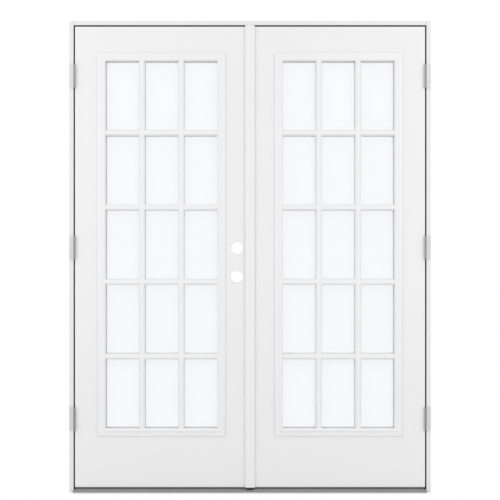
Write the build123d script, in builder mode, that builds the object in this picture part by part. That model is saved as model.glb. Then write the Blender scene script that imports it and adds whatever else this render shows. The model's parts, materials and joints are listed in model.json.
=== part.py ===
from build123d import *
import os

# Outswing french doors in their frame. Millimetres, +Z up.
# X runs across the opening and +Y goes into the house. The origin lies on the floor
# under the middle of the unit, in the plane of the jambs' outside edges.

os.makedirs("parts", exist_ok=True)

LEFT = -1
RIGHT = 1
TOP = 1
BOTTOM = -1

# Slabs and the gaps round them
slab_width = 755.65
slab_height = 2006.6
slab_thickness = 44.45
side_gap = 5.2
head_gap = 5.8
meeting_gap = 15.0
slab_floor_gap = 23.6
skin_thickness = 1.6
skin_eased_edge = 0.8
hinge_stile_width = 31.75
free_stile_width = 22.2
top_rail_height = 31.75
bottom_rail_height = 60.0

# Jambs
jamb_edge_thickness = 19.05
jamb_stop_thickness = 31.75
jamb_depth = 115.9
rabbet_depth = 50.0
jamb_eased_edge = 1.0
kerf_width = 3.0
kerf_depth = 9.0
kerf_offset = 1.6

# Sill
sill_nose = 19.0
sill_nose_height = 10.9
sill_front_height = 14.4
sill_back_height = 17.0
sill_step_height = 38.0
sill_end_height = 26.0
sill_end_bevel = 14.0
sill_cover_thickness = 2.0
sill_nose_wall = 5.2
drip_groove_height = 2.4
drip_groove_depth = 3.0
drip_lip_fall = 0.6

# Weatherstrips, bumper and sweeps
seal_clearance = 0.3
seal_bulb_width = 11.4
seal_corner_radius = 1.8
seal_stem_thickness = 2.4
seal_stem_length = 7.5
bumper_height = 11.0
bumper_top_gap = 2.0
bumper_base_thickness = 1.6
sweep_depth = 34.0
sweep_carrier_thickness = 2.4
sweep_fin_thickness = 2.2
sweep_fin_count = 3
sweep_end_gap = 3.0

# Glazed opening of each slab
lite_head_margin = 114.7
lite_foot_margin = 220.9
lite_side_margin = 98.825
lite_band = 36.0
cutout_margin = 12.5
cutout_fit = 0.5
lite_columns = 3
lite_rows = 5
upright_bar_width = 27.0
cross_bar_width = 25.4
bar_crest_width = 12.5
bar_crest_rise = 7.0
bar_shoulder_rise = 0.5
bar_embed = 2.5
bar_glass_gap = 0.6
lite_edge_rise = 2.6
lite_slope_width = 14.0
lite_slope_rise = 7.0
lite_quirk_place = 18.0
lite_quirk_rise = 5.8
lite_bead_start = 22.0
lite_bead_start_rise = 8.6
lite_bead_rise = 10.5
lite_bead_end = 31.0
lite_bead_end_rise = 9.6
lite_bevel_rise = 5.0
lite_wall = 3.0
lite_leg_depth = 5.0
pane_thickness = 3.2
glass_unit_thickness = 12.7
glass_edge_cover = 12.0
spacer_width = 9.0
spacer_inset = 1.5

# Lock bores of the active slab
backset = 60.325
latch_height = 914.4
lock_spacing = 127.0
cross_bore_diameter = 54.0
edge_bore_diameter = 25.4
lock_block_height = 360.0

# Astragal of the active slab
astragal_stem = 9.6
astragal_flange_width = 42.0
astragal_edge_rise = 6.2
astragal_crown_rise = 10.6
astragal_corner_radius = 4.0
astragal_head_rise = 4.0
astragal_seal_gap = 2.4
astragal_seal_width = 6.0
boot_width = 28.0
boot_edge_rise = 7.4
boot_crown_rise = 9.4
boot_height = 9.0
boot_sill_clearance = 0.8

# Hinges
hinge_height = 101.6
hinge_top_inset = 166.0
hinge_bottom_inset = 248.0
hinge_leaf_thickness = 2.3
hinge_leaf_depth = 38.0
barrel_diameter = 12.0
pin_diameter = 6.0
pin_clearance = 0.05
pin_outboard = 0.35
pin_forward = 6.6
pin_end_height = 0.8
knuckle_count = 3
knuckle_gap = 0.4
link_thickness = 2.3

# Strikes and flush bolts of the passive slab
strike_length = 57.15
strike_width = 28.6
strike_thickness = 1.6
strike_hole_length = 26.0
strike_hole_width = 16.0
strike_hole_depth = 19.0
bolt_plate_length = 152.4
bolt_plate_width = 22.0
bolt_plate_thickness = 2.0
bolt_plate_inset = 260.0
bolt_rod_diameter = 8.0
bolt_clearance = 0.3
bolt_throw = 19.0
bolt_rest_gap = 1.0
bolt_tail = 8.0
bolt_thumb_length = 14.0
bolt_thumb_width = 7.0
bolt_thumb_recess = 0.5

# Places worked out from the sizes above
slab_free_x = meeting_gap / 2
slab_hinge_x = slab_free_x + slab_width
slab_centre_x = slab_free_x + slab_width / 2
slab_top = slab_floor_gap + slab_height
slab_centre_z = slab_floor_gap + slab_height / 2
slab_centre_y = slab_thickness / 2
rabbet_x = slab_hinge_x + side_gap
jamb_back_x = rabbet_x + jamb_edge_thickness
stop_x = jamb_back_x - jamb_stop_thickness
head_underside = slab_top + head_gap
unit_top = head_underside + jamb_edge_thickness
head_stop_z = unit_top - jamb_stop_thickness
lite_frame_width = slab_width - 2 * lite_side_margin
lite_frame_height = slab_height - lite_head_margin - lite_foot_margin
lite_centre_z = slab_floor_gap + lite_foot_margin + lite_frame_height / 2
lite_opening_width = lite_frame_width - 2 * lite_band
lite_opening_height = lite_frame_height - 2 * lite_band
cutout_width = lite_frame_width - 2 * cutout_margin
cutout_height = lite_frame_height - 2 * cutout_margin
glass_width = lite_opening_width + 2 * glass_edge_cover
glass_height = lite_opening_height + 2 * glass_edge_cover
glass_face_depth = (slab_thickness - glass_unit_thickness) / 2
stem_face_x = astragal_stem - slab_free_x
bore_x = stem_face_x - backset
latch_z = slab_floor_gap + latch_height
deadbolt_z = latch_z + lock_spacing
lock_heights = (latch_z, deadbolt_z)
lock_centre_z = latch_z + lock_spacing / 2
pin_x = slab_hinge_x + pin_outboard
top_hinge_z = slab_top - hinge_top_inset - hinge_height / 2
bottom_hinge_z = slab_floor_gap + hinge_bottom_inset + hinge_height / 2
hinge_places = {
    "top": top_hinge_z,
    "middle": (top_hinge_z + bottom_hinge_z) / 2,
    "bottom": bottom_hinge_z,
}
bolt_x = slab_free_x + free_stile_width / 2
slab_ends = {TOP: slab_top, BOTTOM: slab_floor_gap}
side_names = {LEFT: "left", RIGHT: "right"}
leaf_names = {LEFT: "active", RIGHT: "passive"}


def save(piece, name):
    """Label a finished piece and write its file."""
    piece.part.label = name
    export_step(piece.part, f"parts/{name}.step")


def block(x_span, y_span, z_span, mode=Mode.ADD):
    """A straight block between two coordinates each way, in the current part."""
    x_low, x_high = sorted(x_span)
    y_low, y_high = sorted(y_span)
    z_low, z_high = sorted(z_span)
    with BuildSketch(Plane.XY.offset(z_low)) as base:
        with Locations(((x_low + x_high) / 2, (y_low + y_high) / 2)):
            Rectangle(x_high - x_low, y_high - y_low)
    extrude(base.sketch, amount=z_high - z_low, mode=mode)


def sill_surface(y):
    """Height of the sill's deck at a depth y from the jambs' outside edges."""
    if y < 0:
        return sill_front_height + (sill_front_height - sill_nose_height) * y / sill_nose
    return sill_front_height + (sill_back_height - sill_front_height) * y / rabbet_depth


# Hinges

def hinge_leaf_plate(face_x, into_wood, near_y, hinge_z, mode=Mode.ADD):
    """The flat of a hinge leaf, let into the wood face at face_x."""
    block(
        (face_x, face_x + into_wood * hinge_leaf_thickness),
        (near_y, hinge_leaf_depth),
        (hinge_z - hinge_height / 2, hinge_z + hinge_height / 2),
        mode,
    )


def mortises(face_x, into_wood):
    """Cut the seats of three hinge leaves into the wood face at face_x."""
    for hinge_z in hinge_places.values():
        hinge_leaf_plate(face_x, into_wood, 0, hinge_z, Mode.SUBTRACT)


def knuckles(side, hinge_z, first, link_low, link_high):
    """Every second knuckle of a hinge from the bottom up, each with its link to the leaf."""
    pitch = hinge_height / knuckle_count
    bottom = hinge_z - hinge_height / 2
    for index in range(first, knuckle_count, 2):
        low_trim = knuckle_gap / 2 if index > 0 else 0
        high_trim = knuckle_gap / 2 if index < knuckle_count - 1 else 0
        link_x = (side * link_low[0] + side * link_high[0]) / 2
        link_y = (link_low[1] + link_high[1]) / 2
        with BuildSketch(Plane.XY.offset(bottom + index * pitch + low_trim)) as plan:
            with Locations((side * pin_x, -pin_forward)):
                Circle(barrel_diameter / 2)
            with Locations((link_x, link_y)):
                Rectangle(abs(link_high[0] - link_low[0]), abs(link_high[1] - link_low[1]))
            with Locations((side * pin_x, -pin_forward)):
                Circle(pin_diameter / 2 + pin_clearance, mode=Mode.SUBTRACT)
        extrude(plan.sketch, amount=pitch - low_trim - high_trim)


def jamb_hinge_leaf(side, hinge_z):
    """Jamb half: a flange on the jamb's outside edge, a return in the rabbet, knuckles."""
    with BuildPart() as leaf:
        hinge_leaf_plate(side * rabbet_x, side, -hinge_leaf_thickness, hinge_z)
        block(
            (side * rabbet_x, side * jamb_back_x),
            (-hinge_leaf_thickness, 0),
            (hinge_z - hinge_height / 2, hinge_z + hinge_height / 2),
        )
        link_back = barrel_diameter / 2 - pin_forward
        knuckles(
            side,
            hinge_z,
            0,
            (pin_x, link_back - link_thickness),
            (rabbet_x + hinge_leaf_thickness, link_back),
        )
    return leaf


def door_hinge_leaf(side, hinge_z):
    """Door half: a leaf let into the slab's edge, and the knuckles between the jamb's."""
    with BuildPart() as leaf:
        hinge_leaf_plate(side * slab_hinge_x, -side, 0, hinge_z)
        knuckles(
            side,
            hinge_z,
            1,
            (slab_hinge_x - link_thickness, -pin_forward),
            (slab_hinge_x, skin_thickness),
        )
    return leaf


def hinge_pins(side):
    """The three pins of one side, each a little longer than its barrel."""
    length = hinge_height + 2 * pin_end_height
    with BuildPart() as pins:
        for hinge_z in hinge_places.values():
            with BuildSketch(Plane.XY.offset(hinge_z - length / 2)):
                with Locations((side * pin_x, -pin_forward)):
                    Circle(pin_diameter / 2)
            extrude(amount=length)
    return pins


# Frame

def side_jamb(side):
    """Rabbeted side jamb, housed at the top for the head and notched over the sill."""
    kerf_near = rabbet_x - kerf_offset
    with BuildPart() as jamb:
        block((side * rabbet_x, side * jamb_back_x), (0, jamb_depth), (0, unit_top))
        long_edges = jamb.edges().filter_by(Axis.Z).group_by(Axis.Y)[0]
        chamfer(long_edges, length=jamb_eased_edge)
        stop_span = (rabbet_depth, jamb_depth)
        block((side * stop_x, side * rabbet_x), stop_span, (sill_step_height, head_stop_z))
        block(
            (side * kerf_near, side * (kerf_near - kerf_width)),
            (rabbet_depth, rabbet_depth + kerf_depth),
            (0, unit_top),
            Mode.SUBTRACT,
        )
        mortises(side * rabbet_x, side)
    return jamb


def head_jamb():
    """Head jamb between the side jambs, with the hole for the top flush bolt."""
    kerf_near = head_underside - kerf_offset
    kerf_span = (rabbet_depth, rabbet_depth + kerf_depth)
    x_span = (-rabbet_x, rabbet_x)
    with BuildPart() as jamb:
        block(x_span, (0, rabbet_depth), (head_underside, unit_top))
        front_edges = jamb.edges().filter_by(Axis.X).group_by(Axis.Y)[0]
        chamfer(front_edges, length=jamb_eased_edge)
        block(x_span, (rabbet_depth, jamb_depth), (head_stop_z, unit_top))
        block(x_span, kerf_span, (kerf_near - kerf_width, kerf_near), Mode.SUBTRACT)
        with BuildSketch(Plane.XY.offset(head_underside)):
            with Locations((bolt_x, slab_centre_y)):
                Circle(bolt_rod_diameter / 2 + bolt_clearance)
        extrude(amount=bolt_throw - head_gap, mode=Mode.SUBTRACT)
    return jamb


def sill_outline(wall, nose_wall, grooved):
    """Section of the sill seen along X, set in from its outer faces by a wall."""
    front = -sill_nose + nose_wall
    deck_start = (front, sill_surface(front) - wall)
    groove_top = sill_nose_height - drip_lip_fall
    groove_bottom = groove_top - drip_groove_height
    with BuildLine() as outline:
        if grooved:
            Polyline(
                (front, 0),
                (front, groove_bottom),
                (front + drip_groove_depth, groove_bottom),
                (front + drip_groove_depth, groove_top),
                (front, groove_top),
                deck_start,
            )
        else:
            Line((front, 0), deck_start)
        Polyline(
            deck_start,
            (0, sill_front_height - wall),
            (rabbet_depth + wall, sill_back_height - wall),
            (rabbet_depth + wall, sill_step_height - wall),
            (jamb_depth - sill_end_bevel, sill_step_height - wall),
            (jamb_depth - wall, sill_end_height - wall),
            (jamb_depth - wall, 0),
            (front, 0),
        )
    make_face(outline.edges())


def sill_bolt_hole():
    """The hole that takes the foot of the bottom flush bolt."""
    hole_floor = slab_floor_gap - bolt_throw
    with BuildSketch(Plane.XY.offset(hole_floor)) as hole:
        with Locations((bolt_x, slab_centre_y)):
            Circle(bolt_rod_diameter / 2 + bolt_clearance)
    extrude(hole.sketch, amount=sill_back_height - hole_floor, mode=Mode.SUBTRACT)


def sill_cover():
    """Folded and extruded cover: nose with a drip groove, deck, step and back."""
    with BuildPart() as cover:
        with BuildSketch(Plane.YZ.offset(-rabbet_x)):
            sill_outline(0, 0, grooved=True)
        extrude(amount=2 * rabbet_x)
        with BuildSketch(Plane.YZ.offset(-rabbet_x)):
            sill_outline(sill_cover_thickness, sill_nose_wall, grooved=False)
        extrude(amount=2 * rabbet_x, mode=Mode.SUBTRACT)
        sill_bolt_hole()
    return cover


def sill_substrate():
    with BuildPart() as substrate:
        with BuildSketch(Plane.YZ.offset(-rabbet_x)):
            sill_outline(sill_cover_thickness, sill_nose_wall, grooved=False)
        extrude(amount=2 * rabbet_x)
        sill_bolt_hole()
    return substrate


def seal_profile(corner, across, stem_centre):
    """Weatherstrip section: a bulb on the stop face and a stem in the kerf.

    corner is the rabbet face's place across the strip, and across points from it
    over the stop. The section's other direction is Y.
    """
    near = corner + across * seal_clearance
    far = near + across * seal_bulb_width
    bulb_front = slab_thickness + seal_clearance
    bulb_centre = ((near + far) / 2, (bulb_front + rabbet_depth) / 2)
    stem_middle = (stem_centre, rabbet_depth + seal_stem_length / 2)
    return bulb_centre, rabbet_depth - bulb_front, stem_middle


def side_weatherstrip(side):
    stem_x = side * (rabbet_x - kerf_offset - kerf_width / 2)
    bulb, bulb_thickness, stem = seal_profile(side * rabbet_x, -side, stem_x)
    with BuildPart() as strip:
        with BuildSketch(Plane.XY.offset(sill_step_height)):
            with Locations(bulb):
                RectangleRounded(seal_bulb_width, bulb_thickness, seal_corner_radius)
            with Locations(stem):
                Rectangle(seal_stem_thickness, seal_stem_length)
        extrude(amount=head_stop_z - sill_step_height)
    return strip


def head_weatherstrip():
    stem_z = head_underside - kerf_offset - kerf_width / 2
    bulb, bulb_thickness, stem = seal_profile(head_underside, -1, stem_z)
    length = 2 * (rabbet_x - seal_clearance)
    with BuildPart() as strip:
        with BuildSketch(Plane.YZ.offset(-length / 2)):
            with Locations((bulb[1], bulb[0])):
                RectangleRounded(bulb_thickness, seal_bulb_width, seal_corner_radius)
            with Locations((stem[1], stem[0])):
                Rectangle(seal_stem_length, seal_stem_thickness)
        extrude(amount=length)
    return strip


def sill_bumper():
    """Vinyl bumper on the face of the sill's step, behind the slabs' feet."""
    top = sill_step_height - bumper_top_gap
    front = slab_thickness + seal_clearance
    length = 2 * (rabbet_x - seal_clearance)
    with BuildPart() as bumper:
        with BuildSketch(Plane.YZ.offset(-length / 2)):
            with Locations(((front + rabbet_depth) / 2, top - bumper_height / 2)):
                RectangleRounded(rabbet_depth - front, bumper_height, seal_corner_radius)
            base_y = rabbet_depth - bumper_base_thickness / 2
            with Locations((base_y, (top + sill_back_height) / 2)):
                Rectangle(bumper_base_thickness, top - sill_back_height)
        extrude(amount=length)
    return bumper


# Slabs

def slab_face_sketch(side, width, height, centre_z, mode=Mode.ADD):
    """A rectangle on the slab's face, centred on the slab across its width."""
    with Locations((side * slab_centre_x, centre_z)):
        Rectangle(width, height, mode=mode)


def edge_bores(x_from, x_to):
    """Latch and deadbolt bores along X through the slab's edge."""
    with BuildSketch(Plane.YZ.offset(x_from)) as bores:
        with Locations(*[(slab_centre_y, height) for height in lock_heights]):
            Circle(edge_bore_diameter / 2)
    extrude(bores.sketch, amount=x_to - x_from, mode=Mode.SUBTRACT)


def skin(side, outside):
    """Moulded face of a slab with its glazing cut-out, lock bores and hinge notches."""
    face_y = 0 if outside else slab_thickness - skin_thickness
    with BuildPart() as panel:
        with BuildSketch(Plane.XZ.offset(-face_y)):
            slab_face_sketch(side, slab_width, slab_height, slab_centre_z)
        extrude(amount=-skin_thickness)
        shown_face = panel.faces().sort_by(Axis.Y)[0 if outside else -1]
        chamfer(shown_face.edges(), length=skin_eased_edge)
        with BuildSketch(Plane.XZ.offset(-face_y)):
            slab_face_sketch(side, cutout_width, cutout_height, lite_centre_z)
            if side == LEFT:
                with Locations(*[(bore_x, height) for height in lock_heights]):
                    Circle(cross_bore_diameter / 2)
        extrude(amount=-skin_thickness, mode=Mode.SUBTRACT)
        if outside:
            mortises(side * slab_hinge_x, -side)
    return panel


def core_block(x_span, z_span, mode=Mode.ADD):
    """A block of the full thickness between the skins."""
    block(x_span, (skin_thickness, slab_thickness - skin_thickness), z_span, mode)


def hinge_stile(side):
    with BuildPart() as stile:
        core_block(
            (side * slab_hinge_x, side * (slab_hinge_x - hinge_stile_width)),
            (slab_floor_gap, slab_top),
        )
        mortises(side * slab_hinge_x, -side)
    return stile


def lock_stile():
    """Free edge of the active slab, bored for the latch and the deadbolt."""
    inner_x = -slab_free_x - free_stile_width
    with BuildPart() as stile:
        core_block((-slab_free_x, inner_x), (slab_floor_gap, slab_top))
        edge_bores(inner_x, -slab_free_x)
    return stile


def strike_place(height):
    return Plane.YZ.offset(slab_free_x), (slab_centre_y, height)


def free_stile():
    """Free edge of the passive slab, cut for the strikes and the flush bolts."""
    with BuildPart() as stile:
        core_block(
            (slab_free_x, slab_free_x + free_stile_width),
            (slab_floor_gap, slab_top),
        )
        for height in lock_heights:
            plane, place = strike_place(height)
            with BuildSketch(plane):
                with Locations(place):
                    Rectangle(strike_width, strike_length)
            extrude(amount=strike_thickness, mode=Mode.SUBTRACT)
            with BuildSketch(plane):
                with Locations(place):
                    Rectangle(strike_hole_width, strike_hole_length)
            extrude(amount=strike_hole_depth, mode=Mode.SUBTRACT)
        for end in (TOP, BOTTOM):
            bolt_cavity(end)
    return stile


def strike_plates():
    with BuildPart() as plates:
        for height in lock_heights:
            plane, place = strike_place(height)
            with BuildSketch(plane):
                with Locations(place):
                    Rectangle(strike_width, strike_length)
                    Rectangle(strike_hole_width, strike_hole_length, mode=Mode.SUBTRACT)
            extrude(amount=strike_thickness)
    return plates


def bolt_plate_z(end):
    return slab_ends[end] - end * bolt_plate_inset


def bolt_thumb_z(end):
    """Middle of the thumb piece with the bolt drawn back."""
    return bolt_plate_z(end) - end * bolt_throw / 2


def thumb_slot(clearance):
    """Width and length that let the thumb piece travel its throw."""
    width = bolt_thumb_width + 2 * clearance
    length = bolt_thumb_length + bolt_throw + 2 * clearance
    return width, length


def bolt_cavity(end):
    """Plate seat, thumb slot and rod bore of one flush bolt, cut into the free stile."""
    place = (slab_centre_y, bolt_plate_z(end))
    with BuildSketch(Plane.YZ.offset(slab_free_x)) as seat:
        with Locations(place):
            Rectangle(bolt_plate_width, bolt_plate_length)
    extrude(seat.sketch, amount=bolt_plate_thickness, mode=Mode.SUBTRACT)
    with BuildSketch(Plane.YZ.offset(slab_free_x)) as slot:
        with Locations(place):
            Rectangle(*thumb_slot(bolt_rest_gap))
    extrude(slot.sketch, amount=bolt_x - slab_free_x, mode=Mode.SUBTRACT)
    tail_z = bolt_thumb_z(end) - end * (bolt_thumb_length / 2 + bolt_tail + bolt_rest_gap)
    low, high = sorted((tail_z, slab_ends[end]))
    with BuildSketch(Plane.XY.offset(low)) as bore:
        with Locations((bolt_x, slab_centre_y)):
            Circle(bolt_rod_diameter / 2 + bolt_clearance)
    extrude(bore.sketch, amount=high - low, mode=Mode.SUBTRACT)


def bolt_plates():
    with BuildPart() as plates:
        for end in (TOP, BOTTOM):
            with BuildSketch(Plane.YZ.offset(slab_free_x)):
                with Locations((slab_centre_y, bolt_plate_z(end))):
                    Rectangle(bolt_plate_width, bolt_plate_length)
                    Rectangle(*thumb_slot(bolt_rest_gap), mode=Mode.SUBTRACT)
            extrude(amount=bolt_plate_thickness)
    return plates


def flush_bolt(end):
    """Rod with its thumb piece, drawn back so that its tip is inside the slab."""
    thumb_z = bolt_thumb_z(end)
    tail_z = thumb_z - end * (bolt_thumb_length / 2 + bolt_tail)
    tip_z = slab_ends[end] - end * bolt_rest_gap
    low, high = sorted((tail_z, tip_z))
    with BuildPart() as bolt:
        with BuildSketch(Plane.XY.offset(low)):
            with Locations((bolt_x, slab_centre_y)):
                Circle(bolt_rod_diameter / 2)
        extrude(amount=high - low)
        block(
            (slab_free_x + bolt_thumb_recess, bolt_x),
            (slab_centre_y - bolt_thumb_width / 2, slab_centre_y + bolt_thumb_width / 2),
            (thumb_z - bolt_thumb_length / 2, thumb_z + bolt_thumb_length / 2),
        )
    return bolt


def rail(side, z_span):
    with BuildPart() as board:
        core_block(
            (
                side * (slab_free_x + free_stile_width),
                side * (slab_hinge_x - hinge_stile_width),
            ),
            z_span,
        )
    return board


def lock_block():
    """Solid block between the lock stile and the cut-out, bored for the lock."""
    stile_x = -slab_free_x - free_stile_width
    cutout_x = cutout_width / 2 - slab_centre_x
    with BuildPart() as piece:
        core_block(
            (stile_x, cutout_x),
            (lock_centre_z - lock_block_height / 2, lock_centre_z + lock_block_height / 2),
        )
        with BuildSketch(Plane.XZ):
            with Locations(*[(bore_x, height) for height in lock_heights]):
                Circle(cross_bore_diameter / 2)
        extrude(amount=-slab_thickness, mode=Mode.SUBTRACT)
        edge_bores(bore_x, stile_x)
    return piece


def foam_core(side):
    """Foam between stiles and rails, open at the glazing cut-out."""
    free_x = slab_free_x + free_stile_width
    hinge_x = slab_hinge_x - hinge_stile_width
    cutout_x = slab_centre_x - cutout_width / 2
    low = slab_floor_gap + bottom_rail_height
    high = slab_top - top_rail_height
    with BuildPart() as core:
        core_block((side * free_x, side * hinge_x), (low, high))
        with BuildSketch(Plane.XZ):
            slab_face_sketch(side, cutout_width, cutout_height, lite_centre_z)
        extrude(amount=-slab_thickness, mode=Mode.SUBTRACT)
        if side == LEFT:
            half_block = lock_block_height / 2
            core_block(
                (side * free_x, side * cutout_x),
                (lock_centre_z - half_block, lock_centre_z + half_block),
                Mode.SUBTRACT,
            )
    return core


# Glazing

def face_plane(side, outside):
    """Plane on a slab's face at the middle of its glazing, rising away from the slab."""
    if outside:
        return Plane((side * slab_centre_x, 0, lite_centre_z), (1, 0, 0), (0, -1, 0))
    return Plane((side * slab_centre_x, slab_thickness, lite_centre_z), (1, 0, 0), (0, 1, 0))


def lite_frame_section():
    """Section of the moulded frame: distance in from its outer edge, and rise."""
    leg_x = cutout_margin + cutout_fit
    inner_leg_x = lite_band - lite_wall
    roof = lite_quirk_rise - lite_wall
    with BuildLine() as outline:
        Polyline(
            (0, 0),
            (0, lite_edge_rise),
            (lite_slope_width, lite_slope_rise),
            (lite_quirk_place, lite_quirk_rise),
            (lite_bead_start, lite_bead_start_rise),
        )
        ThreePointArc(
            (lite_bead_start, lite_bead_start_rise),
            ((lite_bead_start + lite_bead_end) / 2, lite_bead_rise),
            (lite_bead_end, lite_bead_end_rise),
        )
        Polyline(
            (lite_bead_end, lite_bead_end_rise),
            (lite_band, lite_bevel_rise),
            (lite_band, -glass_face_depth),
            (inner_leg_x, -glass_face_depth),
            (inner_leg_x, roof),
            (leg_x + lite_wall, roof),
            (leg_x + lite_wall, -lite_leg_depth),
            (leg_x, -lite_leg_depth),
            (leg_x, 0),
            (0, 0),
        )
    make_face(outline.edges())


def bar_section(width):
    """Points of a grille bar's section: flat crest, sloped shoulders, upright sides."""
    foot = bar_glass_gap - glass_face_depth
    return (
        (-width / 2, foot),
        (width / 2, foot),
        (width / 2, bar_shoulder_rise),
        (bar_crest_width / 2, bar_crest_rise),
        (-bar_crest_width / 2, bar_crest_rise),
        (-width / 2, bar_shoulder_rise),
    )


def bar_centres(opening, count, width):
    """Centres of the bars that part an opening into equal lites."""
    lite = (opening - (count - 1) * width) / count
    return [(index + 1) * (lite + width) - width / 2 - opening / 2 for index in range(count - 1)]


def bars(plane, along, across, opening, length, count, width):
    """Parallel bars: along is their direction, across the one they are spaced in."""
    start = plane.origin - along * (length / 2 + bar_embed)
    section_plane = Plane(start, across, along)
    rise = 1 if section_plane.y_dir.dot(plane.z_dir) > 0 else -1
    with BuildSketch(section_plane) as sections:
        for centre in bar_centres(opening, count, width):
            points = [(centre + x, rise * y) for x, y in bar_section(width)]
            Polygon(*points, align=None)
    extrude(sections.sketch, amount=length + 2 * bar_embed)


def lite_frame(side, outside):
    """Frame and grille of one face, moulded as one piece."""
    plane = face_plane(side, outside)
    half_width = lite_frame_width / 2
    half_height = lite_frame_height / 2
    start = plane.from_local_coords((0, -half_height, 0))
    with BuildPart() as frame:
        with BuildLine(plane) as path:
            Polyline(
                (0, -half_height),
                (half_width, -half_height),
                (half_width, half_height),
                (-half_width, half_height),
                (-half_width, -half_height),
                close=True,
            )
        with BuildSketch(Plane(start, plane.y_dir, plane.x_dir)):
            lite_frame_section()
        sweep(path=path.wires()[0], transition=Transition.RIGHT)
        bars(
            plane,
            plane.y_dir,
            plane.x_dir,
            lite_opening_width,
            lite_opening_height,
            lite_columns,
            upright_bar_width,
        )
        bars(
            plane,
            plane.x_dir,
            plane.y_dir,
            lite_opening_height,
            lite_opening_width,
            lite_rows,
            cross_bar_width,
        )
    return frame


def pane(side, outside):
    face_y = glass_face_depth if outside else slab_thickness - glass_face_depth - pane_thickness
    with BuildPart() as glass:
        with BuildSketch(Plane.XZ.offset(-face_y)):
            slab_face_sketch(side, glass_width, glass_height, lite_centre_z)
        extrude(amount=-pane_thickness)
    return glass


def glass_spacer(side):
    """Sealed bar round the edge of the glass unit, between its panes."""
    outer_width = glass_width - 2 * spacer_inset
    outer_height = glass_height - 2 * spacer_inset
    with BuildPart() as spacer:
        with BuildSketch(Plane.XZ.offset(-glass_face_depth - pane_thickness)):
            slab_face_sketch(side, outer_width, outer_height, lite_centre_z)
            slab_face_sketch(
                side,
                outer_width - 2 * spacer_width,
                outer_height - 2 * spacer_width,
                lite_centre_z,
                Mode.SUBTRACT,
            )
        extrude(amount=2 * pane_thickness - glass_unit_thickness)
    return spacer


# What hangs on the slabs' edges

def bottom_sweep(side):
    """Finned seal under a slab: each fin stops just above the sill's sloping deck."""
    x_low, x_high = sorted(
        (
            side * (slab_free_x + sweep_end_gap),
            side * (slab_hinge_x - sweep_end_gap),
        )
    )
    fin_pitch = (sweep_depth - sweep_fin_thickness) / (sweep_fin_count - 1)
    first_fin_y = slab_centre_y - sweep_depth / 2 + sweep_fin_thickness / 2
    with BuildPart() as sweep_seal:
        with BuildSketch(Plane.YZ.offset(x_low)):
            with Locations((slab_centre_y, slab_floor_gap - sweep_carrier_thickness / 2)):
                Rectangle(sweep_depth, sweep_carrier_thickness)
            for index in range(sweep_fin_count):
                fin_y = first_fin_y + index * fin_pitch
                fin_foot = sill_surface(fin_y + sweep_fin_thickness / 2) + seal_clearance
                with Locations((fin_y, (fin_foot + slab_floor_gap) / 2)):
                    Rectangle(sweep_fin_thickness, slab_floor_gap - fin_foot)
        extrude(amount=x_high - x_low)
        if side == RIGHT:
            with BuildSketch(Plane.XY.offset(slab_floor_gap)):
                with Locations((bolt_x, slab_centre_y)):
                    Circle(bolt_rod_diameter / 2 + bolt_clearance)
            extrude(amount=-slab_floor_gap, mode=Mode.SUBTRACT)
    return sweep_seal


def crowned_outline(width, edge_rise, crown_rise):
    """Plan with straight sides and a crowned front, standing out from the slab's face."""
    half = width / 2
    with BuildLine() as outline:
        Line((half, 0), (half, -edge_rise))
        ThreePointArc((half, -edge_rise), (0, -crown_rise), (-half, -edge_rise))
        Polyline((-half, -edge_rise), (-half, 0), (half, 0))
    make_face(outline.edges())


def astragal():
    """Crowned moulding on the active slab's free edge that laps over the passive slab."""
    flange_low = slab_floor_gap
    flange_high = slab_top + astragal_head_rise
    with BuildPart() as moulding:
        with BuildSketch(Plane.XY.offset(flange_low)) as plan:
            crowned_outline(astragal_flange_width, astragal_edge_rise, astragal_crown_rise)
            fillet(plan.vertices().group_by(Axis.Y)[0], radius=astragal_corner_radius)
        extrude(amount=flange_high - flange_low)
        block(
            (stem_face_x, astragal_flange_width / 2),
            (-astragal_seal_gap, 0),
            (flange_low, flange_high),
            Mode.SUBTRACT,
        )
    return moulding


def astragal_stem():
    """Strip behind the moulding that makes the astragal's T, bored for the lock."""
    with BuildPart() as strip:
        block((-slab_free_x, stem_face_x), (0, slab_thickness), (slab_floor_gap, slab_top))
        edge_bores(-slab_free_x, stem_face_x)
    return strip


def astragal_seal():
    """Soft strip behind the flange, just clear of the passive slab."""
    near_x = slab_free_x + skin_eased_edge
    with BuildPart() as strip:
        block(
            (near_x, near_x + astragal_seal_width),
            (-astragal_seal_gap, -seal_clearance),
            (slab_floor_gap, slab_top),
        )
    return strip


def astragal_boot():
    """Rubber foot under the flange, its underside sloped like the sill."""
    top = slab_floor_gap
    half = boot_width / 2
    front = -sill_nose
    with BuildPart() as boot:
        with BuildSketch(Plane.XY.offset(top)):
            crowned_outline(boot_width, boot_edge_rise, boot_crown_rise)
        extrude(amount=-boot_height)
        with BuildSketch(Plane.YZ.offset(-half)):
            with BuildLine():
                Polyline(
                    (front, top),
                    (front, sill_surface(front) + boot_sill_clearance),
                    (0, sill_surface(0) + boot_sill_clearance),
                    (0, top),
                    close=True,
                )
            make_face()
        extrude(amount=2 * half, mode=Mode.INTERSECT)
    return boot


save(side_jamb(LEFT), "left_jamb")
save(side_jamb(RIGHT), "right_jamb")
save(head_jamb(), "head_jamb")
save(sill_cover(), "sill_cover")
save(sill_substrate(), "sill_substrate")
save(sill_bumper(), "sill_bumper")
save(head_weatherstrip(), "head_weatherstrip")

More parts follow.
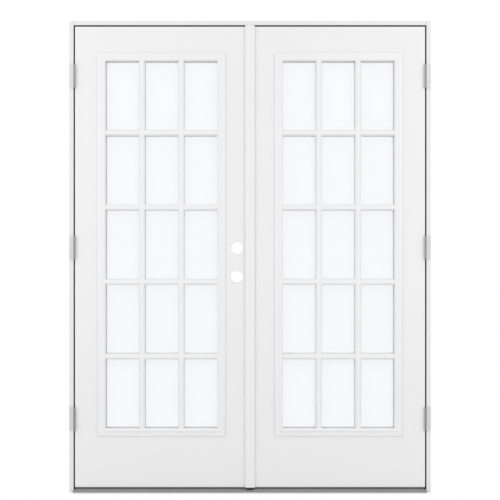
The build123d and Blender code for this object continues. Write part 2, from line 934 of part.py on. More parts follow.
for side, side_name in side_names.items():
    leaf_name = leaf_names[side]
    save(side_weatherstrip(side), f"{side_name}_weatherstrip")
    save(hinge_pins(side), f"{side_name}_hinge_pins")
    for hinge_name, hinge_z in hinge_places.items():
        save(jamb_hinge_leaf(side, hinge_z), f"{side_name}_{hinge_name}_jamb_hinge_leaf")
        save(door_hinge_leaf(side, hinge_z), f"{leaf_name}_{hinge_name}_door_hinge_leaf")
    save(hinge_stile(side), f"{leaf_name}_hinge_stile")
    save(rail(side, (slab_top - top_rail_height, slab_top)), f"{leaf_name}_top_rail")
    save(
        rail(side, (slab_floor_gap, slab_floor_gap + bottom_rail_height)),
        f"{leaf_name}_bottom_rail",
    )
    save(foam_core(side), f"{leaf_name}_foam_core")
    for outside, face_name in ((True, "outer"), (False, "inner")):
        save(skin(side, outside), f"{leaf_name}_{face_name}_skin")
        save(lite_frame(side, outside), f"{leaf_name}_{face_name}_lite_frame")
        save(pane(side, outside), f"{leaf_name}_{face_name}_pane")
    save(glass_spacer(side), f"{leaf_name}_glass_spacer")
    save(bottom_sweep(side), f"{leaf_name}_bottom_sweep")

save(lock_stile(), "active_lock_stile")
save(lock_block(), "active_lock_block")
save(astragal(), "astragal")
save(astragal_stem(), "astragal_stem")
save(astragal_seal(), "astragal_seal")
save(astragal_boot(), "astragal_boot")
save(free_stile(), "passive_free_stile")
save(strike_plates(), "strike_plates")
save(bolt_plates(), "flush_bolt_plates")
save(flush_bolt(TOP), "top_flush_bolt")
save(flush_bolt(BOTTOM), "bottom_flush_bolt")
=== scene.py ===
import json
import math

import bmesh
import bpy
from mathutils import Matrix, Vector


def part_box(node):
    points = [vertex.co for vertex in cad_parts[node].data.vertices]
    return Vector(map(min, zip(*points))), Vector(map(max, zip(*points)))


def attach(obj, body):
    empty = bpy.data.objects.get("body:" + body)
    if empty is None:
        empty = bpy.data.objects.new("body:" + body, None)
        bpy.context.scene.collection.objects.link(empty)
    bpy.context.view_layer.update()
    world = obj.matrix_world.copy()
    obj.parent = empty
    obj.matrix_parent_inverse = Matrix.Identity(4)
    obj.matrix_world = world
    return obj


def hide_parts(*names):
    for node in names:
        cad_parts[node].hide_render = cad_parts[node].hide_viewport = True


# French doors in their frame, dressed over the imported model. Metres, +Z up, +Y indoors.

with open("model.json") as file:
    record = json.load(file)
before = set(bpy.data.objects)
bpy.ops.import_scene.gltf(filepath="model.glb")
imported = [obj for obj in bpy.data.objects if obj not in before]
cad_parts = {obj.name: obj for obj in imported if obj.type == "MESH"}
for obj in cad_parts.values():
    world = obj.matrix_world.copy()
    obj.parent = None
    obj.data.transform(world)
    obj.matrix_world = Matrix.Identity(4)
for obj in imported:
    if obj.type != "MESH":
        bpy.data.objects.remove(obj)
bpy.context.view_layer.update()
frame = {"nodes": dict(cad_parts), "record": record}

mm = 0.001
leaf_sides = {"active": -1, "passive": 1}
outdoors = -1
indoors = 1
same_place = 1e-6

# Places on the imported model
slab_thickness = 44.45 * mm
slab_free_x = 7.5 * mm
slab_hinge_x = 763.15 * mm
slab_top = 2030.2 * mm
rabbet_x = 768.35 * mm
rabbet_depth = 50.0 * mm
stop_rise = 13.0 * mm
head_underside = 2036.0 * mm
glass_depth = 15.875 * mm
hinge_heights = (1813.4 * mm, 1067.9 * mm, 322.4 * mm)
hinge_flange = 2.3 * mm
pin_x = 763.5 * mm
strike_heights = (938.0 * mm, 1065.0 * mm)
bolt_plate_heights = (1770.2 * mm, 283.6 * mm)
lite_middle_x = 385.325 * mm
lite_middle_z = 1080.0 * mm
lite_half_width = 279.0 * mm
lite_half_height = 835.5 * mm
lite_band = 36.0 * mm
lite_columns = 3
lite_rows = 5

# Widths that only the colours show: the painted shadow round the lite frames and the painted shade
# on the rims by the gaps. Slack takes a colour just past the face that it covers.
frame_shadow_width = 1.3 * mm
rim_shade_width = 0.65 * mm
slack = 0.5 * mm

# The view in the photograph
lens = 79.32
sensor_width = 36.0
camera_distance = 4.8
eye_height = 1.0567


# Materials

class Wire:
    """A shader value. Each sum or comparison on it adds a Math node."""

    def __init__(self, finish, socket):
        self.finish = finish
        self.socket = socket

    def __add__(self, other):
        return self.finish.math("ADD", self, other)

    def __sub__(self, other):
        return self.finish.math("SUBTRACT", self, other)

    def __mul__(self, other):
        return self.finish.math("MULTIPLY", self, other)

    def __gt__(self, other):
        return self.finish.math("GREATER_THAN", self, other)

    def __lt__(self, other):
        return self.finish.math("LESS_THAN", self, other)

    def __radd__(self, other):
        return self.finish.math("ADD", other, self)

    def __rsub__(self, other):
        return self.finish.math("SUBTRACT", other, self)

    def __rmul__(self, other):
        return self.finish.math("MULTIPLY", other, self)

    def __abs__(self):
        return self.finish.math("ABSOLUTE", self)

    def sine(self):
        return self.finish.math("SINE", self)

    def larger(self, other):
        return self.finish.math("MAXIMUM", self, other)

    def clamped(self):
        return self.finish.node("ShaderNodeClamp", inputs={"Value": self})

    def within(self, low, high):
        """One between two values, zero outside them."""
        return (self > low) * (self < high)

    def around(self, middle, spread):
        """A middle value that this pattern takes half the spread up and down."""
        return middle + (self - 0.5) * spread


class Finish:
    """A material being made. Every node comes from its one method."""

    def __init__(self, name):
        self.material = bpy.data.materials.new(name)
        self.material.use_nodes = True
        self.nodes = self.material.node_tree.nodes
        self.links = self.material.node_tree.links
        self.surface = self.nodes["Principled BSDF"]
        self.output = self.nodes["Material Output"]

    def node(self, kind, settings=None, inputs=None, output=0):
        made = self.nodes.new(kind)
        for name, value in (settings or {}).items():
            setattr(made, name, value)
        for key, value in (inputs or {}).items():
            self.join(made.inputs[key], value)
        return Wire(self, made.outputs[output])

    def join(self, socket, value):
        if isinstance(value, Wire):
            self.links.new(value.socket, socket)
        else:
            socket.default_value = value

    def math(self, operation, *values):
        return self.node("ShaderNodeMath", {"operation": operation}, dict(enumerate(values)))

    def place(self):
        return self.node("ShaderNodeTexCoord", output="Object")

    def axis(self, name):
        """One of the three Object coordinates."""
        return self.node("ShaderNodeSeparateXYZ", inputs={"Vector": self.place()}, output=name)

    def noise(self, scale, detail, roughness=0.5, coordinates=None):
        inputs = {
            "Vector": coordinates or self.place(),
            "Scale": scale,
            "Detail": detail,
            "Roughness": roughness,
        }
        return self.node("ShaderNodeTexNoise", inputs=inputs)

    def streaks(self, scale, along, stretch, detail, roughness=0.5):
        """Noise drawn out along one axis."""
        scales = [scale / stretch if axis == along else scale for axis in "XYZ"]
        inputs = {"Vector": self.place(), "Scale": scales}
        drawn_out = self.node("ShaderNodeMapping", inputs=inputs)
        return self.noise(1.0, detail, roughness, drawn_out)

    def blend(self, factor, low, high):
        """A colour between two colours."""
        settings = {"data_type": "RGBA"}
        inputs = {0: factor, 6: low, 7: high}
        return self.node("ShaderNodeMix", settings, inputs, output=2)

    def bump(self, height, distance):
        inputs = {"Height": height, "Distance": distance, "Strength": 1.0}
        return self.node("ShaderNodeBump", inputs=inputs)

    def dress(self, **sockets):
        """Set the surface's sockets by name, with underscores for spaces."""
        for name, value in sockets.items():
            self.join(self.surface.inputs[name.replace("_", " ")], value)
        return self.material


def grey(level, tint=(1.0, 1.0, 1.0)):
    return (level * tint[0], level * tint[1], level * tint[2], 1.0)


paint_tint = (1.0, 0.998, 1.0)


def cloudy_paint(finish, clouds, level, darkening):
    """A paint colour that the clouds take down by a small share."""
    return finish.blend(clouds, grey(level * (1 - darkening), paint_tint), grey(level, paint_tint))


def jamb_paint():
    """Satin paint over wood grain, which runs along each jamb; the rabbets are painted dark grey
    as painted shade for the shadowed gaps round the leaves.
    """
    paint_level = 0.818
    rabbet_shade_level = 0.22
    past_jamb_face = -10.0 * mm
    finish = Finish("jamb_paint")
    x, y, z = (finish.axis(name) for name in "XYZ")
    between_rabbets = abs(x) < rabbet_x
    upright = finish.streaks(420.0, "Z", stretch=40, detail=4.0, roughness=0.6)
    level = finish.streaks(420.0, "X", stretch=40, detail=4.0, roughness=0.6)
    head = (z > head_underside - stop_rise) * between_rabbets
    grain = upright * (1 - head) + level * head
    clouds = finish.noise(3.0, detail=2.0)
    side_rabbet = abs(x).within(rabbet_x - slack, rabbet_x + rim_shade_width)
    head_rabbet = z.within(head_underside - slack, head_underside + slack) * between_rabbets
    reach = y.within(past_jamb_face, rabbet_depth - slack)
    # Painted shade: the rabbet faces, and a thin rim past them, are coloured dark grey where the
    # gaps are in shadow.
    rabbet_shade = (side_rabbet + head_rabbet).clamped() * reach
    paint = cloudy_paint(finish, clouds, paint_level, 0.015)
    return finish.dress(
        Base_Color=finish.blend(rabbet_shade, paint, grey(rabbet_shade_level)),
        Roughness=clouds.around(0.42, 0.08) + rabbet_shade * 0.2,
        Normal=finish.bump(grain, 0.05 * mm),
    )


def frame_edge_shadow(finish):
    """One on a thin line round the lite frames on the slab skin, painted darker as painted shadow
    at the frames' outer edges.
    """
    beside = abs(abs(finish.axis("X")) - lite_middle_x) - lite_half_width
    above = abs(finish.axis("Z") - lite_middle_z) - lite_half_height
    # Painted shadow: a darker grey line on the slab just outside each lite frame.
    return beside.larger(above).within(-slack, frame_shadow_width)


def gap_rim_shade(finish):
    """One on the outdoor skins' eased edges beside the hinges and at the head, painted near black
    as painted shade beside the gaps round the leaves.
    """
    beside = abs(finish.axis("X")) - slab_hinge_x
    above = finish.axis("Z") - slab_top
    # Painted shade: this rim is coloured near black next to the shadowed gaps.
    return (beside.larger(above) > -rim_shade_width) * (finish.axis("Y") < slab_thickness / 2)


def inner_wall_light(finish):
    """One on the lite frames' walls between the slab's two faces, painted lighter as painted light
    in the walls' shade.
    """
    # Painted light: these walls take a paler grey than the frame's face.
    return finish.axis("Y").within(2 * slack, slab_thickness - 2 * slack)


def painted(name, level, roughness, peel_depth, marks=()):
    """Smooth satin paint or moulded plastic with a faint orange peel, and painted shade and
    painted light in other greys.
    """
    finish = Finish(name)
    clouds = finish.noise(3.0, detail=2.0)
    peel = finish.noise(420.0, detail=2.0)
    fine = finish.noise(1900.0, detail=1.0)
    colour = cloudy_paint(finish, clouds, level, 0.012)
    for mark, mark_level in marks:
        colour = finish.blend(mark(finish), colour, grey(mark_level))
    return finish.dress(
        Base_Color=colour,
        Roughness=clouds.around(roughness, 0.08),
        Normal=finish.bump(peel * 0.8 + fine * 0.2, peel_depth),
    )


def metal_lines(finish, along):
    return finish.streaks(2600.0, along, stretch=140, detail=3.0, roughness=0.6)


def sill_aluminium():
    """Mill finish with fine lines along the sill, dulled by its oxide; the drip groove is painted
    near black as painted shade.
    """
    groove_heights = (7.6 * mm, 10.6 * mm)
    groove_depths = (-18.6 * mm, -13.5 * mm)
    finish = Finish("sill_aluminium")
    lines = metal_lines(finish, "X")
    clouds = finish.noise(14.0, detail=3.0)
    groove = finish.axis("Z").within(*groove_heights) * finish.axis("Y").within(*groove_depths)
    polished = finish.blend(lines, grey(0.45), grey(0.54))
    return finish.dress(
        # Painted shade: the drip groove is coloured near black.
        Base_Color=finish.blend(groove, polished, grey(0.06)),
        Metallic=0.55,
        Roughness=clouds.around(0.46, 0.14) + (lines - 0.5) * 0.12,
        Normal=finish.bump(lines, 0.04 * mm),
    )


def bare_metal(name, level, roughness, tint=(1.0, 1.0, 1.0)):
    finish = Finish(name)
    lines = metal_lines(finish, "Z")
    clouds = finish.noise(14.0, detail=3.0)
    return finish.dress(
        Base_Color=finish.blend(lines, grey(level * 0.9, tint), grey(level, tint)),
        Metallic=1.0,
        Roughness=clouds.around(roughness, 0.12) + (lines - 0.5) * 0.12,
        Normal=finish.bump(lines, 0.04 * mm),
    )


def hinge_steel():
    """Satin nickel on steel, with the barrels painted darker than the flat leaves as painted
    shade.
    """
    barrel_front = -hinge_flange - 0.4 * mm
    barrel_reach = 4.3 * mm
    finish = Finish("hinge_steel")
    lines = metal_lines(finish, "Z")
    clouds = finish.noise(60.0, detail=3.0)
    beside_pin = abs(abs(finish.axis("X")) - pin_x)
    barrel = (finish.axis("Y") < barrel_front) * (beside_pin < barrel_reach)
    leaf_colour = finish.blend(lines, grey(0.60), grey(0.69))
    barrel_shade_colour = finish.blend(lines, grey(0.24), grey(0.30))
    return finish.dress(
        # Painted shade: the barrels take a much darker grey than the leaves.
        Base_Color=finish.blend(barrel, leaf_colour, barrel_shade_colour),
        Metallic=1.0,
        Roughness=clouds.around(0.34, 0.14) + (lines - 0.5) * 0.1,
        Normal=finish.bump(lines, 0.04 * mm),
    )


def soft(name, colour, roughness, pebble_scale, pebble_depth):
    """Rubber, vinyl or foam, with a fine pebbled face."""
    finish = Finish(name)
    pebbles = finish.noise(pebble_scale, detail=3.0, roughness=0.6)
    clouds = finish.noise(25.0, detail=2.0)
    darker = tuple(channel * 0.86 for channel in colour)
    return finish.dress(
        Base_Color=finish.blend(clouds, (*darker, 1.0), (*colour, 1.0)),
        Roughness=clouds.around(roughness, 0.1),
        Normal=finish.bump(pebbles, pebble_depth),
    )


def core_wood():
    """Sawn softwood with its grain drawn out along the stiles."""
    bands = 22.0
    finish = Finish("core_wood")
    rings = finish.streaks(70.0, "Z", stretch=28, detail=3.0, roughness=0.55)
    fibres = finish.streaks(1000.0, "Z", stretch=28, detail=2.0)
    banded = (rings * bands).sine() * 0.5 + 0.5
    colour = finish.blend(banded, (0.24, 0.175, 0.115, 1.0), (0.36, 0.265, 0.175, 1.0))
    return finish.dress(
        Base_Color=colour,
        Roughness=fibres.around(0.72, 0.1),
        Normal=finish.bump(fibres + banded * 0.3, 0.2 * mm),
    )


def sill_composite():
    """Dark board of bonded fibres."""
    finish = Finish("sill_composite")
    fibres = finish.streaks(900.0, "X", stretch=15, detail=4.0, roughness=0.65)
    return finish.dress(
        Base_Color=finish.blend(fibres, (0.16, 0.13, 0.10, 1.0), (0.33, 0.27, 0.21, 1.0)),
        Roughness=fibres.around(0.8, 0.1),
        Normal=finish.bump(fibres, 0.2 * mm),
    )


def pale_glass():
    """Coated insulating glass with a faint veil. Lamp light passes straight through it."""
    finish = Finish("clear_glass")
    finish.dress(
        Base_Color=(0.972, 0.976, 0.988, 1.0),
        Roughness=0.0,
        IOR=1.8,
        Transmission_Weight=0.96,
    )
    path = seen_by(finish, "Shadow")
    through = finish.node("ShaderNodeBsdfTransparent")
    surface = Wire(finish, finish.surface.outputs[0])
    mixed = finish.node("ShaderNodeMixShader", inputs={0: path, 1: surface, 2: through})
    finish.join(finish.output.inputs["Surface"], mixed)
    return finish.material


def seen_by(finish, kind):
    """One for rays of that kind, zero for all others."""
    return finish.node("ShaderNodeLightPath", output=f"Is {kind} Ray")


# Painted shade and painted light over the paint, each with its grey level
slab_painted_shade = ((frame_edge_shadow, 0.6), (gap_rim_shade, 0.1))
lite_painted_light = ((inner_wall_light, 0.96),)

finishes = {
    "jamb_paint": jamb_paint(),
    "slab_skin": painted("slab_skin", 0.86, 0.38, 0.02 * mm, slab_painted_shade),
    "lite_plastic": painted("lite_plastic", 0.87, 0.32, 0.008 * mm, lite_painted_light),
    "astragal_paint": painted("astragal_paint", 0.86, 0.34, 0.01 * mm),
    "sill_aluminium": sill_aluminium(),
    "spacer_aluminium": bare_metal("spacer_aluminium", 0.92, 0.38),
    "hinge_steel": hinge_steel(),
    "bolt_steel": bare_metal("bolt_steel", 0.6, 0.3, tint=(1.0, 0.995, 0.98)),
    "weatherstrip": soft("weatherstrip", (0.5, 0.5, 0.49), 0.62, 1400.0, 0.05 * mm),
    "sweep_vinyl": soft("sweep_vinyl", (0.15, 0.148, 0.145), 0.5, 1600.0, 0.03 * mm),
    "boot_rubber": soft("boot_rubber", (0.02, 0.02, 0.02), 0.6, 1200.0, 0.04 * mm),
    "slab_foam": soft("slab_foam", (0.82, 0.76, 0.56), 0.9, 900.0, 0.2 * mm),
    "core_wood": core_wood(),
    "sill_composite": sill_composite(),
    "clear_glass": pale_glass(),
}


# Pieces

def arc_radius(half_chord, sag):
    """Radius of the arc over a chord."""
    return (half_chord ** 2 + sag ** 2) / (2 * sag)


def finish_piece(shape, name, body, slot):
    """Turn a shape into a piece of the object that rides on a body."""
    sharp_angle = 32.0
    bmesh.ops.recalc_face_normals(shape, faces=shape.faces)
    mesh = bpy.data.meshes.new(name)
    shape.to_mesh(mesh)
    shape.free()
    mesh.shade_smooth()
    mesh.set_sharp_from_angle(angle=math.radians(sharp_angle))
    mesh.materials.append(finishes[slot])
    piece = bpy.data.objects.new(name, mesh)
    bpy.context.collection.objects.link(piece)
    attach(piece, body)
    return piece


def round_off(shape, parts, radius, segments, affect="EDGES"):
    bmesh.ops.bevel(
        shape,
        geom=parts,
        offset=radius,
        segments=segments,
        profile=0.5,
        affect=affect,
        clamp_overlap=affect == "EDGES",
        material=-1,
    )


def new_parts(made, kind):
    return [part for part in made["geom"] if isinstance(part, kind)]


def all_at(part, axis, distance):
    """Whether a whole edge or face lies at a distance from the middle plane of an axis."""
    return all(abs(abs(vert.co[axis]) - distance) < same_place for vert in part.verts)


def crowned_moulding():
    """The astragal's moulding: crowned front, rounded sides, recesses behind its two edges."""
    low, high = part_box("astragal")
    half = high.x
    crown = -low.y
    crown_steps = 20
    edge_rise = 8.4 * mm
    corner_radius = 5.6 * mm
    corner_segments = 8
    recess_x = 2.1 * mm
    recess_depth = 2.4 * mm
    relief_x = 12.0 * mm
    relief_depth = 1.8 * mm
    radius = arc_radius(half, crown - edge_rise)
    shape = bmesh.new()
    start = shape.verts.new((-half, -edge_rise, low.z))
    bmesh.ops.spin(
        shape,
        geom=[start],
        cent=(0, radius - crown, low.z),
        axis=(0, 0, 1),
        angle=2 * math.asin(half / radius),
        steps=crown_steps,
    )
    far = max(shape.verts, key=lambda vert: vert.co.x)
    back = (
        (half, -recess_depth),
        (recess_x, -recess_depth),
        (recess_x, 0),
        (-relief_x, 0),
        (-relief_x, -relief_depth),
        (-half, -relief_depth),
    )
    chain = [far, *(shape.verts.new((x, y, low.z)) for x, y in back), start]
    for near, beyond in zip(chain, chain[1:]):
        shape.edges.new((near, beyond))
    section = bmesh.ops.contextual_create(shape, geom=list(shape.edges))["faces"]
    made = bmesh.ops.extrude_face_region(shape, geom=section)
    verts = new_parts(made, bmesh.types.BMVert)
    bmesh.ops.translate(shape, verts=verts, vec=(0, 0, high.z - low.z))
    corners = [
        edge for edge in shape.edges
        if all_at(edge, 0, half) and all_at(edge, 1, edge_rise)
    ]
    round_off(shape, corners, corner_radius, corner_segments)
    piece = finish_piece(shape, "astragal_moulding", "active_leaf", "astragal_paint")
    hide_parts("astragal")


# Section of the lite frame in millimetres: distance in from its outer edge, rise over the
# slab's face, and softness of the corner
lite_section = (
    (0.0, 0.0, 0.0),
    (0.0, 3.6, 1.0),
    (13.0, 7.2, 2.5),
    (18.0, 5.8, 1.2),
    (22.0, 8.6, 1.2),
    (25.0, 10.6, 2.2),
    (29.0, 10.55, 2.2),
    (32.0, 9.0, 2.0),
    (36.0, 5.0, 2.2),
    (36.0, -15.875, 0.0),
    (33.0, -15.875, 0.0),
    (33.0, 2.8, 0.0),
    (16.0, 2.8, 0.0),
    (16.0, -5.0, 0.0),
    (13.0, -5.0, 0.0),
    (13.0, 0.0, 0.0),
)


def mitred_ring(shape, width, height, facing):
    """The moulded section taken round a rectangle, from one mitre to the next."""
    corner_segments = 5
    verts = [
        shape.verts.new((inset * mm - width / 2, facing * rise * mm, inset * mm - height / 2))
        for inset, rise, softness in lite_section
    ]
    for index, vert in enumerate(verts):
        shape.edges.new((verts[index - 1], vert))
    for vert, (inset, rise, softness) in zip(verts, lite_section):
        if softness:
            round_off(shape, [vert], softness * mm, corner_segments, affect="VERTICES")
    edges = list(shape.edges)
    across, down = (-1, 1, 1), (1, 1, -1)
    for mirrored in (across, down, across, down):
        made = bmesh.ops.extrude_edge_only(shape, edges=edges)
        bmesh.ops.scale(shape, vec=mirrored, verts=new_parts(made, bmesh.types.BMVert))
        edges = new_parts(made, bmesh.types.BMEdge)
    bmesh.ops.remove_doubles(shape, verts=shape.verts, dist=same_place)


def bar_places(opening, lites, bar_width):
    """Middles of the bars that part an opening into equal lites."""
    lite = (opening - (lites - 1) * bar_width) / lites
    return [index * (lite + bar_width) - bar_width / 2 - opening / 2 for index in range(1, lites)]


def lite_grid(shape, across, up, rise):
    """A flat grid with its lines through the middles of the bars, and each lite's place in it."""
    columns = len(across) - 1
    rows = len(up) - 1
    made = bmesh.ops.create_grid(shape, x_segments=columns, y_segments=rows, size=0.5)
    for vert in made["verts"]:
        column = round((vert.co.x + 0.5) * columns)
        row = round((vert.co.y + 0.5) * rows)
        vert.co = (across[column], rise, up[row])
    cells = []
    for face in dict.fromkeys(face for vert in made["verts"] for face in vert.link_faces):
        middle = face.calc_center_median()
        column = sum(middle.x > line for line in across) - 1
        row = sum(middle.z > line for line in up) - 1
        cells.append((face, column, row))
    return cells


def step_in(shape, cells, across, up, half_upright, half_cross, rise):
    """Inset every lite to the edges of its bars, at a new rise. Outer sides stay."""
    for face, column, row in cells:
        bmesh.ops.inset_individual(shape, faces=[face], thickness=1 * mm)
        middle = face.calc_center_median()
        left = across[column] + (half_upright if column else 0)
        right = across[column + 1] - (half_upright if column < len(across) - 2 else 0)
        foot = up[row] + (half_cross if row else 0)
        head = up[row + 1] - (half_cross if row < len(up) - 2 else 0)
        for vert in face.verts:
            x = left if vert.co.x < middle.x else right
            z = foot if vert.co.z < middle.z else head
            vert.co = (x, rise, z)


def grille(shape, opening_width, opening_height, facing):
    """Bars with flat crests and sloped shoulders that cross as one moulding."""
    embed = 2.5 * mm
    upright = 27.0 * mm
    cross = 25.4 * mm
    crest = 12.5 * mm
    glass_clearance = 0.6 * mm
    crest_rise = facing * 7.0 * mm
    shoulder_rise = facing * 0.5 * mm
    foot_rise = facing * (glass_clearance - glass_depth)
    seen_depth = 1.0 * mm
    turning_angle = 30.0
    softness = 1.1 * mm
    half_width = opening_width / 2 + embed
    half_height = opening_height / 2 + embed
    across = [-half_width, *bar_places(opening_width, lite_columns, upright), half_width]
    up = [-half_height, *bar_places(opening_height, lite_rows, cross), half_height]
    bars = bmesh.new()
    front = lite_grid(bars, across, up, crest_rise)
    step_in(bars, front, across, up, crest / 2, crest / 2, crest_rise)
    step_in(bars, front, across, up, upright / 2, cross / 2, shoulder_rise)
    step_in(bars, front, across, up, upright / 2, cross / 2, foot_rise)
    back = lite_grid(bars, across, up, foot_rise)
    step_in(bars, back, across, up, upright / 2, cross / 2, foot_rise)
    lites = [face for face, column, row in front + back]
    bmesh.ops.delete(bars, geom=lites, context="FACES")

    def at_an_end(part):
        return all_at(part, 0, half_width) or all_at(part, 2, half_height)

    ends = [face for face in bars.faces if at_an_end(face)]
    bmesh.ops.delete(bars, geom=ends, context="FACES")
    bmesh.ops.remove_doubles(bars, verts=bars.verts, dist=same_place)
    bmesh.ops.dissolve_degenerate(bars, edges=bars.edges, dist=same_place)
    bmesh.ops.holes_fill(bars, edges=bars.edges, sides=12)
    bmesh.ops.recalc_face_normals(bars, faces=bars.faces)
    seen = [
        edge for edge in bars.edges
        if len(edge.link_faces) == 2
        and edge.calc_face_angle() > math.radians(turning_angle)
        and all(vert.co.y * facing > -seen_depth for vert in edge.verts)
        and not at_an_end(edge)
    ]
    round_off(bars, seen, softness, segments=3)
    mesh = bpy.data.meshes.new("bars")
    bars.to_mesh(mesh)
    bars.free()
    shape.from_mesh(mesh)
    bpy.data.meshes.remove(mesh)


def lite_frame(leaf, facing):
    """A lite frame's moulding with its bars, on either face of a leaf."""
    node = f"{leaf}_{'outer' if facing == outdoors else 'inner'}_lite_frame"
    low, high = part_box(node)
    size = high - low
    middle = (low + high) / 2
    face_y = 0 if facing == outdoors else slab_thickness
    shape = bmesh.new()
    mitred_ring(shape, size.x, size.z, facing)
    grille(shape, size.x - 2 * lite_band, size.z - 2 * lite_band, facing)
    bmesh.ops.translate(shape, verts=shape.verts, vec=(middle.x, face_y, middle.z))
    piece = finish_piece(shape, f"{node}_moulding", f"{leaf}_leaf", "lite_plastic")
    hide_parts(node)


def settle(shape, place):
    """Move the verts made since the last call, from the middle to their place."""
    made = [vert for vert in shape.verts if not vert.tag]
    bmesh.ops.transform(shape, matrix=place, verts=made)
    for vert in made:
        vert.tag = True


def plug(shape, place):
    """A thin cap with a rounded rim, standing on the local XY plane."""
    radius = 4.6 * mm
    foot = -0.4 * mm
    rim_height = 0.9 * mm
    made = bmesh.ops.create_circle(shape, cap_ends=True, segments=24, radius=radius)
    face = made["verts"][0].link_faces[0]
    bmesh.ops.translate(shape, verts=made["verts"], vec=(0, 0, foot))
    risen = bmesh.ops.extrude_discrete_faces(shape, faces=[face])["faces"]
    bmesh.ops.translate(shape, verts=risen[0].verts, vec=(0, 0, rim_height))
    bmesh.ops.inset_individual(shape, faces=risen, thickness=0.5 * mm, depth=0.3 * mm)
    bmesh.ops.inset_individual(shape, faces=risen, thickness=0.8 * mm, depth=0.1 * mm)
    settle(shape, place)


def screw_plugs(leaf):
    """Round caps over the screws, on the slope of the indoor frame."""
    low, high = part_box(f"{leaf}_inner_lite_frame")
    inset = 9.0 * mm
    slope_y = slab_thickness + 5.43 * mm
    tilt = math.atan2(4.4, 14.0)
    quarter_turn = math.radians(-90)
    side_plugs = 6
    end_inset = 60.0 * mm
    side_length = high.z - low.z - 2 * end_inset
    rows = [
        low.z + end_inset + index * side_length / (side_plugs - 1)
        for index in range(side_plugs)
    ]
    shape = bmesh.new()
    for side, x in ((-1, low.x + inset), (1, high.x - inset)):
        for z in rows:
            turn = Matrix.Rotation(side * tilt, 4, "Z") @ Matrix.Rotation(quarter_turn, 4, "X")
            plug(shape, Matrix.Translation((x, slope_y, z)) @ turn)
    for side, z in ((-1, low.z + inset), (1, high.z - inset)):
        for share in (-1, 1):
            x = (low.x + high.x) / 2 + share * (high.x - low.x) / 5
            turn = Matrix.Rotation(quarter_turn - side * tilt, 4, "X")
            plug(shape, Matrix.Translation((x, slope_y, z)) @ turn)
    finish_piece(shape, f"{leaf}_screw_plugs", f"{leaf}_leaf", "lite_plastic")


def screw(shape, place, radius):
    """A countersunk head with a cross recess, its rim on the local XY plane."""
    arm_angle = 20
    hub = 0.42
    made = bmesh.ops.create_circle(shape, cap_ends=True, segments=24, radius=radius)
    face = made["verts"][0].link_faces[0]
    bmesh.ops.translate(shape, verts=made["verts"], vec=(0, 0, 0.05 * mm))
    bmesh.ops.inset_individual(shape, faces=[face], thickness=radius * 0.2, depth=0.15 * mm)
    bmesh.ops.inset_individual(shape, faces=[face], thickness=radius * 0.25, depth=0.15 * mm)
    for vert in face.verts:
        turn = math.degrees(math.atan2(vert.co.y, vert.co.x)) % 90
        if min(turn, 90 - turn) >= arm_angle:
            bmesh.ops.scale(shape, vec=(hub, hub, 1.0), verts=[vert])
    bmesh.ops.inset_individual(shape, faces=[face], thickness=0.1 * mm, depth=-0.8 * mm)
    settle(shape, place)


def facing_x(direction, x, y, z):
    """A place on a face that looks along X, for a piece made on the XY plane."""
    turn = Matrix.Rotation(math.radians(90 * direction), 4, "Y")
    return Matrix.Translation((x, y, z)) @ turn


def hinge_screws():
    """Three screws in each leaf of each hinge."""
    head_radius = 4.3 * mm
    screw_rows = (-37 * mm, 0.0, 37 * mm)
    screw_depths = (26 * mm, 14 * mm, 26 * mm)
    places = [
        (depth, hinge_height + row)
        for hinge_height in hinge_heights
        for row, depth in zip(screw_rows, screw_depths)
    ]
    jamb_heads = bmesh.new()
    for leaf, side in leaf_sides.items():
        leaf_heads = bmesh.new()
        for y, z in places:
            screw(jamb_heads, facing_x(-side, side * rabbet_x, y, z), head_radius)
            screw(leaf_heads, facing_x(side, side * slab_hinge_x, y, z), head_radius)
        finish_piece(leaf_heads, f"{leaf}_hinge_screws", f"{leaf}_leaf", "bolt_steel")
    finish_piece(jamb_heads, "jamb_hinge_screws", "frame", "bolt_steel")


def edge_screws():
    """Screws of the strikes and the flush bolt plates in the passive leaf's free edge."""
    head_radius = 3.6 * mm
    strike_reach = 20.5 * mm
    bolt_plate_reach = 66.0 * mm
    plates = [(height, strike_reach) for height in strike_heights]
    plates += [(height, bolt_plate_reach) for height in bolt_plate_heights]
    heads = bmesh.new()
    for height, reach in plates:
        for z in (height - reach, height + reach):
            screw(heads, facing_x(-1, slab_free_x, slab_thickness / 2, z), head_radius)
    finish_piece(heads, "free_edge_screws", "passive_leaf", "bolt_steel")


for subpart in frame["record"]["subparts"]:
    node = frame["nodes"][subpart["node"]]
    node.data.materials.clear()
    node.data.materials.append(finishes[subpart["material_slot"]])

crowned_moulding()
for leaf_name in leaf_sides:
    for facing_side in (outdoors, indoors):
        lite_frame(leaf_name, facing_side)
    screw_plugs(leaf_name)
hinge_screws()
edge_screws()


# Floor, light and camera

def floor():
    """A white floor that shows next to no shade to the camera."""
    reach = 40.0
    plain_share = 0.97
    shape = bmesh.new()
    bmesh.ops.create_grid(shape, x_segments=1, y_segments=1, size=reach)
    mesh = bpy.data.meshes.new("floor")
    shape.to_mesh(mesh)
    shape.free()
    ground = bpy.data.objects.new("floor", mesh)
    bpy.context.collection.objects.link(ground)
    finish = Finish("floor")
    finish.dress(Base_Color=grey(0.85), Roughness=0.9)
    looks = seen_by(finish, "Camera") + seen_by(finish, "Glossy")
    looks = (looks + seen_by(finish, "Transmission")).clamped() * plain_share
    lit = Wire(finish, finish.surface.outputs[0])
    plain = finish.node("ShaderNodeEmission", inputs={"Color": grey(1.0), "Strength": 1.0})
    mixed = finish.node("ShaderNodeMixShader", inputs={0: looks, 1: lit, 2: plain})
    finish.join(finish.output.inputs["Surface"], mixed)
    mesh.materials.append(finish.material)


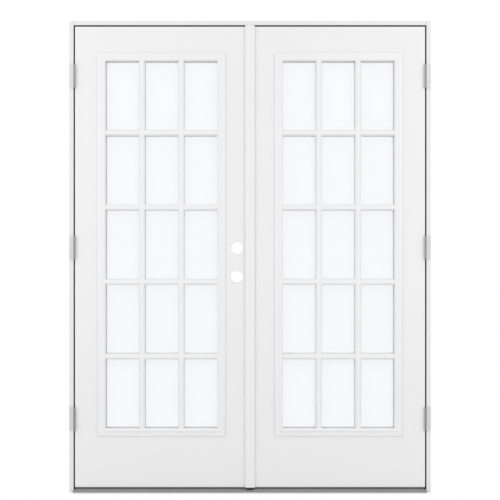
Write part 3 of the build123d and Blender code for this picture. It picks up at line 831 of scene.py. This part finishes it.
class WorldFinish(Finish):
    """The same node-making for the world, which has no surface of its own."""

    def __init__(self):
        world = bpy.data.worlds.new("studio")
        world.use_nodes = True
        bpy.context.scene.world = world
        self.nodes = world.node_tree.nodes
        self.links = world.node_tree.links
        self.output = self.nodes["World Output"]


def studio_world():
    """Even light, white behind the object, and a slightly greyer horizon in reflections."""
    low_level = 0.885
    high_level = 0.89
    horizon_mirrored = 0.94
    horizon_fade = 4.0
    finish = WorldFinish()
    direction = finish.node("ShaderNodeTexCoord", output="Generated")
    rise = finish.node("ShaderNodeSeparateXYZ", inputs={"Vector": direction}, output="Z")
    lit = finish.blend((rise * 0.5 + 0.5).clamped(), grey(low_level), grey(high_level))
    away = (abs(rise) * horizon_fade).clamped()
    mirrored = finish.blend(away, grey(horizon_mirrored), grey(1.0))
    glossy = finish.blend(seen_by(finish, "Glossy"), lit, mirrored)
    direct = (seen_by(finish, "Camera") + seen_by(finish, "Transmission")).clamped()
    colour = finish.blend(direct, glossy, grey(1.0))
    shown = finish.node("ShaderNodeBackground", inputs={"Color": colour, "Strength": 1.0})
    finish.join(finish.output.inputs["Surface"], shown)


def softbox(name, side):
    """A tall soft light in front of one leaf, turned a little inwards."""
    place = Vector((side * 1.9, -1.6, 1.85))
    aim = Vector((side * 0.4, 0.0, 1.2))
    data = bpy.data.lights.new(name, "AREA")
    data.shape = "RECTANGLE"
    data.size = 1.2
    data.size_y = 2.3
    data.energy = 9.4
    lamp = bpy.data.objects.new(name, data)
    bpy.context.collection.objects.link(lamp)
    lamp.location = place
    lamp.rotation_euler = (aim - place).to_track_quat("-Z", "Y").to_euler()


def camera():
    """A level camera in front of the middle."""
    data = bpy.data.cameras.new("camera")
    data.lens = lens
    data.sensor_width = sensor_width
    eye = bpy.data.objects.new("camera", data)
    bpy.context.collection.objects.link(eye)
    eye.location = (0.0, -camera_distance, eye_height)
    eye.rotation_euler = (math.radians(90), 0.0, 0.0)
    bpy.context.scene.camera = eye


camera()
floor()
studio_world()
softbox("softbox_left", -1)
softbox("softbox_right", 1)
bpy.context.scene.view_settings.view_transform = "Standard"
